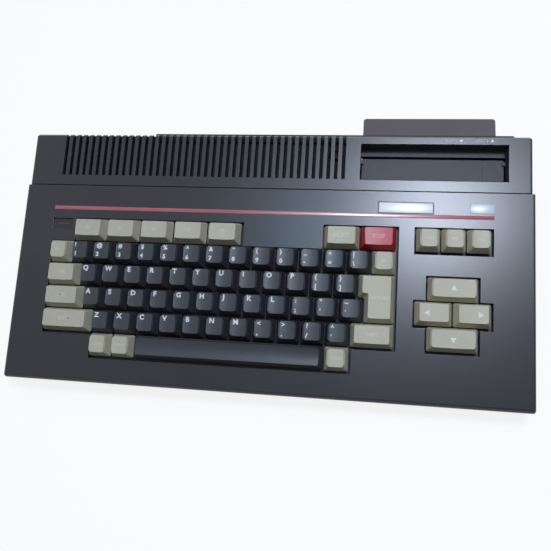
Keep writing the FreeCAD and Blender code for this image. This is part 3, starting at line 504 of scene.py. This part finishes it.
def troughTop(piece, width):
    # a shallow trough that runs along the bar
    radius = arcRadius(width, trough["depth"])
    middle = (cap["insetFront"] - cap["insetRear"]) / 2
    height = cap["height"] + radius - trough["depth"]
    selectNone()
    bpy.ops.mesh.primitive_cylinder_add(vertices=trough["sides"], radius=radius * mm,
                                        depth=trough["length"] * mm,
                                        rotation=(0, math.pi / 2, 0),
                                        location=(0, middle * mm, height * mm))
    cutWith(piece, bpy.context.object)


def hollowOut(piece):
    breakEdges(piece, cap["rim"], cap["rimSteps"])
    pick(piece, "FACE", lambda face: face.normal.z < -facing)
    bpy.ops.mesh.delete(type="FACE")
    setMode("OBJECT")
    applyModifier(piece, "SOLIDIFY", thickness=cap["wall"] * mm, offset=-1.0)
    shadeFlats(piece, cap["smoothAngle"])


def makeCap(units):
    piece = capBlock("capBlank", units)
    taperTop(piece)
    roundCorners(piece)
    dishTop(piece, capWidth(units) - 2 * cap["insetX"])
    hollowOut(piece)
    return piece


def makeSpaceBar():
    # the bar has no finger dish, but a trough
    piece = capBlock("spaceBlank", spaceKey["units"])
    taperTop(piece)
    roundCorners(piece)
    troughTop(piece, capWidth(1) - cap["insetFront"] - cap["insetRear"])
    hollowOut(piece)
    return piece


def makeReturnCap():
    # one column two rows deep, whose rear half steps out to the left
    pitch, gap = cap["pitch"], cap["gap"]
    right, rear = capWidth(returnKey["units"]) / 2, pitch - gap / 2
    step = returnKey["step"] * pitch
    piece = startBlock("returnBlank", (-right, -rear, 0), (right, rear, cap["height"]))
    pick(piece, "FACE", lambda face: True)
    bpy.ops.mesh.bisect(plane_co=(0, gap / 2 * mm, 0), plane_no=(0, 1, 0))
    pick(piece, "FACE", lambda face: (face.normal.x < -facing
                                      and face.calc_center_median().y > gap * mm))
    bpy.ops.mesh.extrude_region_move(TRANSFORM_OT_translate={"value": (-step * mm, 0, 0)})
    drawIn(piece, (0, cap["insetFront"], 0), lambda place: place.y < gap * mm)
    drawIn(piece, (0, -cap["insetRear"], 0), lambda place: place.y > pitch * mostly * mm)
    drawIn(piece, (cap["insetX"], 0, 0), lambda place: place.x < 0)
    drawIn(piece, (-cap["insetX"], 0, 0), lambda place: place.x > 0)
    bpy.ops.mesh.select_all(action="SELECT")
    bpy.ops.mesh.dissolve_limited(angle_limit=math.radians(flatAngle))
    roundCorners(piece)
    dishTop(piece, 2 * right + step - 2 * cap["insetX"])
    hollowOut(piece)
    return piece


blanks = {units: makeCap(units) for units in (1.0, 1.5, 1.75, 2.0, 2.25)}
blanks["space"] = makeSpaceBar()
blanks["return"] = makeReturnCap()
print("keycap blanks done")


# every cap: node, width and left edge in key widths, row, and its legend or arrow
beigeKeys = [
    ("key_f1", 1.5, 1.0, 0, "F1"), ("key_f2", 1.5, 2.5, 0, "F2"), ("key_f3", 1.5, 4.0, 0, "F3"),
    ("key_f4", 1.5, 5.5, 0, "F4"), ("key_f5", 1.5, 7.0, 0, "F5"),
    ("key_select", 1.5, 12.0, 0, "SELECT"), ("key_stop", 1.5, 13.5, 0, "STOP"),
    ("key_escape", 1.0, 0.0, 1, "ESC"), ("key_backspace", 1.0, 14.0, 1, "BS"),
    ("key_tab", 1.5, 0.0, 2, "TAB"), ("key_control", 1.75, 0.0, 3, "CTRL"),
    ("key_shift_left", 2.25, 0.0, 4, "SHIFT"), ("key_shift_right", 1.75, 13.25, 4, "SHIFT"),
    ("key_caps", 1.0, 2.25, 5, "CAPS"), ("key_graph", 1.0, 3.25, 5, "GRAPH"),
    ("key_code", 1.0, 12.25, 5, "CODE"),
    ("key_home", 1.0, 15.75, 0, "HOME"), ("key_insert", 1.0, 16.75, 0, "INS"),
    ("key_delete", 1.0, 17.75, 0, "DEL"),
    ("key_up", 2.0, 16.25, 2, "up"), ("key_down", 2.0, 16.25, 4, "down"),
    ("key_left", 1.5, 15.75, 3, "left"), ("key_right", 1.5, 17.25, 3, "right"),
]
# the letter and figure keys, a node to each hand: first left edge, row, legends from left to right
slateKeys = [
    ("keys_1_to_6", 1.0, 1, ["!1", "@2", "#3", "$4", "%5", "^6"]),
    ("keys_7_to_yen", 7.0, 1, ["&7", "*8", "(9", ")0", "_-", "+=", "|\\"]),
    ("keys_q_to_y", 1.5, 2, ["Q", "W", "E", "R", "T", "Y"]),
    ("keys_u_to_bracket", 7.5, 2, ["U", "I", "O", "P", "{[", "}]"]),
    ("keys_a_to_h", 1.75, 3, ["A", "S", "D", "F", "G", "H"]),
    ("keys_j_to_tilde", 7.75, 3, ["J", "K", "L", ":;", "\"'", "~`"]),
    ("keys_z_to_n", 2.25, 4, ["Z", "X", "C", "V", "B", "N"]),
    ("keys_m_to_accent", 8.25, 4, ["M", "<,", ">.", "?/", "^'"]),
]
# sizes of the letters, words and arrows, how bold they are, how far the ink stands off the cap,
# how far above the cap it starts, and where it sits from the middle of its cap
legend = {"letter": 5.3, "pair": 4.7, "word": 4.1, "small": 3.1, "arrow": 2.7, "return": 3.565,
          "bold": 0.19, "lift": 0.06, "above": 0.5, "curveSteps": 3,
          "left": -4.6, "upper": 4.3, "lower": -3.0, "wordUp": 0.3, "returnRight": 0.6,
          "aside": {"left": -4.6, "right": 4.8}}
arrowTurns = {"up": 0, "down": -180, "left": 90, "right": -90}


def capPlace(left, units, row):
    x = cap["left"] + (left + units / 2) * cap["pitch"]
    v = cap["front"] + (0.5 - row) * cap["pitch"]
    return x, v


def printText(words, size, x, v, align):
    # one word of ink, still flat and just over the cap
    selectNone()
    bpy.ops.object.text_add(location=(x * mm, v * mm, (cap["height"] + legend["above"]) * mm))
    ink = bpy.context.object
    ink.data.body = words
    ink.data.size = size * mm
    ink.data.align_x = align
    ink.data.align_y = "CENTER"
    ink.data.offset = legend["bold"] * mm * size / legend["pair"]
    ink.data.resolution_u = legend["curveSteps"]
    bpy.ops.object.convert(target="MESH")
    settle()
    return bpy.context.object


def printArrow(direction, size, x, v):
    # a filled triangle that points along the deck
    selectNone()
    bpy.ops.mesh.primitive_circle_add(vertices=3, radius=size * mm, fill_type="NGON",
                                      location=(x * mm, v * mm,
                                                (cap["height"] + legend["above"]) * mm),
                                      rotation=(0, 0, math.radians(arrowTurns[direction])))
    settle()
    return bpy.context.object


def pressInk(ink, blank):
    # the ink follows the dish
    selectOnly(ink)
    setMode("EDIT")
    bpy.ops.mesh.select_all(action="SELECT")
    bpy.ops.mesh.normals_make_consistent(inside=False)
    setMode("OBJECT")
    applyModifier(ink, "SHRINKWRAP", target=blank, wrap_method="PROJECT", use_project_z=True,
                  use_negative_direction=True, use_positive_direction=False,
                  offset=legend["lift"] * mm)


def facesUp(ink):
    # a flat print has one side, and it is turned up
    selectOnly(ink)
    setMode("EDIT")
    work = bmesh.from_edit_mesh(ink.data)
    for face in work.faces:
        if face.normal.z < 0:
            face.normal_flip()
    bmesh.update_edit_mesh(ink.data)
    setMode("OBJECT")


def joinAll(pieces, name):
    selectOnly(*pieces)
    bpy.ops.object.join()
    pieces[0].name = pieces[0].data.name = name
    return pieces[0]


def setCap(blank, name, place, node, material, slotName):
    piece = copyOf(blank, name)
    layOnDeck(piece, *place)
    finishPiece(piece, material, node, slotName, node)


def setInk(ink, name, blank, place, node, material, slotName):
    ink.name = ink.data.name = name
    pressInk(ink, blank)
    layOnDeck(ink, *place)
    facesUp(ink)
    finishPiece(ink, material, node, slotName)


def keyWord(node):
    # key_shift_left gives ShiftLeft
    return "".join(word.capitalize() for word in node.split("_")[1:])


for node, units, left, row, mark in beigeKeys:
    place = capPlace(left, units, row)
    blank = blanks[units]
    material, inkMaterial, slotName = keyBeigeAbs, paleInk, "key_beige"
    if node == "key_stop":
        material, inkMaterial, slotName = keyRedAbs, pinkInk, "key_red"
    setCap(blank, "cap" + keyWord(node), place, node, material, slotName)
    if mark in arrowTurns:
        inkMaterial = whiteInk
        ink = printArrow(mark, legend["arrow"], legend["aside"].get(mark, 0.0), 0)
    else:
        size = legend["word"] if units > 1 else legend["small"]
        ink = printText(mark, size, 0, legend["wordUp"], "CENTER")
    setInk(ink, "ink" + keyWord(node), blank, place, node, inkMaterial, slotName)
print("beige keys done")

for node, left, row, marks in slateKeys:
    caps, inks = [], []
    for number, mark in enumerate(marks):
        place = capPlace(left + number, 1.0, row)
        piece = copyOf(blanks[1.0], "slateCap")
        layOnDeck(piece, *place)
        caps.append(piece)
        size = legend["letter"] if len(mark) == 1 else legend["pair"]
        for sign, up in zip(mark, (legend["upper"], legend["lower"])):
            ink = printText(sign, size, legend["left"], up, "LEFT")
            pressInk(ink, blanks[1.0])
            layOnDeck(ink, *place)
            inks.append(ink)
    block = joinAll(caps, "caps" + keyWord(node))
    inkBlock = joinAll(inks, "inks" + keyWord(node))
    facesUp(inkBlock)
    finishPiece(block, keySlateAbs, node, "key_dark", node)
    finishPiece(inkBlock, whiteInk, node, "key_dark")
print("slate keys done")

place = capPlace(spaceKey["left"], spaceKey["units"], spaceKey["row"])
setCap(blanks["space"], "capSpace", place, "key_space", keySlateAbs, "key_dark")
x, v = capPlace(returnKey["left"], returnKey["units"], returnKey["row"])
place = (x, v - cap["pitch"] / 2)
setCap(blanks["return"], "capReturn", place, "key_return", keyBeigeAbs, "key_beige")
ink = printText("RETURN", legend["return"], legend["returnRight"], 0.0, "CENTER")
setInk(ink, "inkReturn", blanks["return"], place, "key_return", paleInk, "key_beige")
for blank in blanks.values():
    bpy.data.objects.remove(blank)
print("space bar and return key done")


# what is stuck or stamped on the deck, in mm on the deck
trims = {
    "redStripe": {"low": (-182.2, 24.75, -0.1), "high": (179.4, 27.75, 0.08), "edge": 0.03,
                  "material": redFoil},
    "silverLabel": {"low": (91.6, 28.7, -0.1), "high": (133.2, 37.0, 0.35), "edge": 0.2,
                    "material": silverFoil},
    "palePlate": {"low": (161.2, 29.4, -0.1), "high": (179.4, 37.1, 0.35), "edge": 0.2,
                  "material": paleFoil},
}
for name, recipe in trims.items():
    piece = startBlock(name, recipe["low"], recipe["high"])
    softenTop(piece, 0, recipe["edge"])
    smoothOver(piece, smoothAngle)
    layOnDeck(piece)
    finishPiece(piece, recipe["material"], "case", "case_plastic")

# painted highlight: the faint rose line across the pilot lamps' window
lensHighlight = {"low": (-178.6, 12.3, -1.72), "high": (-168.4, 12.9, -1.55), "above": -1.6, "edge": 0.05}
lensHighlightLine = startBlock("lensHighlightLine", lensHighlight["low"], lensHighlight["high"])
softenTop(lensHighlightLine, lensHighlight["above"], lensHighlight["edge"])
layOnDeck(lensHighlightLine)
finishPiece(lensHighlightLine, roseLensHighlight, "case", "case_plastic")

# the shallow black frame that the silver label lies in
surround = {"low": (90.9, 28.1, -0.1), "high": (133.9, 37.6, 0.25), "rim": 0.6, "depth": 0.2}
labelFrame = startBlock("labelFrame", surround["low"], surround["high"])
sinkTop(labelFrame, surround["rim"], surround["depth"])
layOnDeck(labelFrame)
finishPiece(labelFrame, blackNylon, "case", "case_plastic")
print("deck trims done")


# arrows and words beside the two cartridge slots; down and up are the arrows' places along x
slotMarks = {"v": 88.6, "down": 153.8, "up": 177.4, "arrow": 1.8, "word": 3.1, "gap": 3.0}


def printMark(name, ink, material):
    # a print made for a cap is let down to the case
    drop = legend["lift"] - cap["height"] - legend["above"]
    ink.name = ink.data.name = name
    ink.data.transform(Matrix.Translation((0, 0, drop * mm)))
    layOnDeck(ink)
    facesUp(ink)
    finishPiece(ink, material, "case", "case_plastic")


for number, direction in enumerate(("down", "up"), start=1):
    x, v, name = slotMarks[direction], slotMarks["v"], direction.capitalize()
    printMark("markSlot" + name, printArrow(direction, slotMarks["arrow"], x, v), whiteInk)
    words = printText("SLOT %d" % number, slotMarks["word"], x - slotMarks["gap"], v, "RIGHT")
    printMark("wordSlot" + name, words, greyInk)
print("slot marks done")


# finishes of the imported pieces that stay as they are
finishes = {
    "slot_flap": flapAbs, "slot_well": flapAbs, "cartridge_shell": cartridgeAbs,
    "rubber_feet": footRubber, "case_screws": zincPlate, "flap_pin": zincPlate,
    "led_window": smokedPolycarbonate, "key_plate": blackEnamel, "keyboard_board": solderMask,
    "main_board": solderMask, "cartridge_board": solderMask, "keyboard_ribbon": ribbonPvc,
    "transformer": varnishedIron, "heat_sink": finAluminium, "tv_modulator": tinnedSteel,
    "round_sockets": blackNylon, "printer_port": blackNylon, "joystick_ports": blackNylon,
    "mains_inlet": blackNylon, "power_switch_body": blackNylon, "power_rocker": blackNylon,
    "top_slot_socket": blackNylon, "rear_slot_socket": blackNylon,
}
for node, material in finishes.items():
    nodes[node].material_slots[0].material = material

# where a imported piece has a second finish, in mm
chips = {"mainAbove": 13.7, "canAbove": 18.0, "canLeft": -82, "canRight": -54,
         "cartridgeAbove": 23.5, "goldBefore": 86.0, "pilotLampAbove": -13.9}
joystickPins = {"beyond": 202.0, "y": (-12.0, 26.0), "z": 21.0, "halfWide": 6.3, "halfHigh": 2.3}
mainsPins = {"before": 87.0, "x": -188.0, "z": 22.5, "apart": 4.3, "reach": 1.2}


def refinish(node, material, test):
    # another finish for the faces whose middle passes the test
    mesh = nodes[node].data
    mesh.materials.append(material)
    for face in mesh.polygons:
        if test(*[value / mm for value in face.center]):
            face.material_index = len(mesh.materials) - 1


def isPilotLamp(x, y, z):
    # the lamps stand up from the keyboard's board, which slopes like the deck
    rise = math.tan(math.radians(deck["slope"])) * (y - deck["y"])
    return (z - deck["z"]) - rise > chips["pilotLampAbove"]


def isJoystickPin(x, y, z):
    aside = min(abs(y - middle) for middle in joystickPins["y"])
    return (x > joystickPins["beyond"] and aside < joystickPins["halfWide"]
            and abs(z - joystickPins["z"]) < joystickPins["halfHigh"])


def isMainsPin(x, y, z):
    aside = abs(abs(x - mainsPins["x"]) - mainsPins["apart"])
    return (y < mainsPins["before"] and aside < mainsPins["reach"]
            and abs(z - mainsPins["z"]) < mainsPins["reach"])


refinish("main_board", blackNylon, lambda x, y, z: z > chips["mainAbove"])
refinish("main_board", finAluminium, lambda x, y, z: (
    z > chips["canAbove"] and chips["canLeft"] < x < chips["canRight"]))
refinish("cartridge_board", blackNylon, lambda x, y, z: z > chips["cartridgeAbove"])
refinish("cartridge_board", goldPlate, lambda x, y, z: y < chips["goldBefore"])
refinish("keyboard_board", redEpoxy, isPilotLamp)
refinish("joystick_ports", goldPlate, isJoystickPin)
refinish("mains_inlet", tinnedSteel, isMainsPin)
print("packed pieces finished")


# stage, in metres: a white table with a round wall far off, a pale room that is lighter at the
# left and rear, a cool lamp behind and to the right, and a faint blue window over the left
stage = {"floor": "FFFFFF", "glow": 0.85, "tableSize": 30.0, "wallRadius": 8.0, "wallHeight": 6.0,
         "wallSides": 96, "sky": "F1F4F7", "world": 0.48, "lighter": (-1.1, 0.85, 0.0),
         "least": 0.06, "aim": (0, 0, 0.05)}
lamps = {
    "ceilingPanel": {"place": (0.281, 0.21, 1.40), "size": 0.25, "power": 11.6, "tone": "E2ECFF"},
    "window": {"place": (-0.093, 0.119, 1.40), "size": 0.2, "power": 1.0, "tone": "9CDDFF"},
}
# the camera stands above and before the front edge, right of the middle, and a little turned
handheld = {"lens": 39.11, "sensor": 36.0, "near": 0.01, "place": (0.08296, -0.16629, 0.49063),
            "turn": (17.5824, 7.4283, 4.7947)}

# the table's paint is white where the camera, a metal or a glass sees it, and takes the shadow
tablePaint = bpy.data.materials.new("tableTop")
tablePaint.use_nodes = True
tree = tablePaint.node_tree
tree.nodes.clear()
paint = addNode(tree, "ShaderNodeBsdfDiffuse", values={"Color": lin(stage["floor"])})
seen = addNode(tree, "ShaderNodeLightPath")
straight = addNode(tree, "ShaderNodeMath", {"operation": "ADD"},
                   links={0: seen.outputs["Is Camera Ray"], 1: seen.outputs["Is Glossy Ray"]})
sight = addNode(tree, "ShaderNodeMath", {"operation": "ADD", "use_clamp": True},
                links={0: straight.outputs[0], 1: seen.outputs["Is Transmission Ray"]})
glow = addNode(tree, "ShaderNodeEmission", values={"Color": (1, 1, 1, 1)},
               links={"Strength": sight.outputs[0]})
both = addNode(tree, "ShaderNodeMixShader", values={"Fac": stage["glow"]},
               links={1: paint.outputs[0], 2: glow.outputs[0]})
addNode(tree, "ShaderNodeOutputMaterial", links={"Surface": both.outputs[0]})

selectNone()
bpy.ops.mesh.primitive_plane_add(size=stage["tableSize"], location=(0, 0, 0))
floor = bpy.context.object
floor.name = "tableTop"
floor.data.materials.append(tablePaint)

# the wall has the same paint, and closes the view behind the object on every side
selectNone()
bpy.ops.mesh.primitive_cylinder_add(vertices=stage["wallSides"], radius=stage["wallRadius"],
                                    depth=stage["wallHeight"], end_fill_type="NOTHING",
                                    location=(0, 0, stage["wallHeight"] / 2))
wall = bpy.context.object
wall.name = "roundWall"
pick(wall, "FACE", lambda face: True)
bpy.ops.mesh.flip_normals()
smoothOver(wall, smoothAngle)
wall.data.materials.append(tablePaint)

world = bpy.data.worlds.new("paleRoom")
bpy.context.scene.world = world
world.use_nodes = True
tree = world.node_tree
tree.nodes.clear()
ray = addNode(tree, "ShaderNodeTexCoord")
lean = addNode(tree, "ShaderNodeVectorMath", {"operation": "DOT_PRODUCT"}, {1: stage["lighter"]},
               {0: ray.outputs["Generated"]})
level = addNode(tree, "ShaderNodeMath", {"operation": "MULTIPLY_ADD"},
                {1: stage["world"], 2: stage["world"]}, {0: lean.outputs["Value"]})
floored = addNode(tree, "ShaderNodeMath", {"operation": "MAXIMUM"}, {1: stage["least"]},
                  {0: level.outputs[0]})
sky = addNode(tree, "ShaderNodeBackground", values={"Color": lin(stage["sky"])},
              links={"Strength": floored.outputs[0]})
addNode(tree, "ShaderNodeOutputWorld", links={"Surface": sky.outputs[0]})

for name, recipe in lamps.items():
    lampData = bpy.data.lights.new(name, "AREA")
    lampData.shape = "SQUARE"
    lampData.size = recipe["size"]
    lampData.energy = recipe["power"]
    lampData.color = lin(recipe["tone"])[:3]
    lamp = bpy.data.objects.new(name, lampData)
    bpy.context.scene.collection.objects.link(lamp)
    lamp.location = recipe["place"]
    aim = Vector(stage["aim"]) - lamp.location
    lamp.rotation_euler = aim.to_track_quat("-Z", "Y").to_euler()

cameraData = bpy.data.cameras.new("handheld")
cameraData.lens = handheld["lens"]
cameraData.sensor_width = handheld["sensor"]
cameraData.clip_start = handheld["near"]
camera = bpy.data.objects.new("handheld", cameraData)
bpy.context.scene.collection.objects.link(camera)
camera.location = handheld["place"]
camera.rotation_euler = [math.radians(angle) for angle in handheld["turn"]]
bpy.context.scene.camera = camera
bpy.context.scene.view_settings.view_transform = "Standard"
print("stage ready")
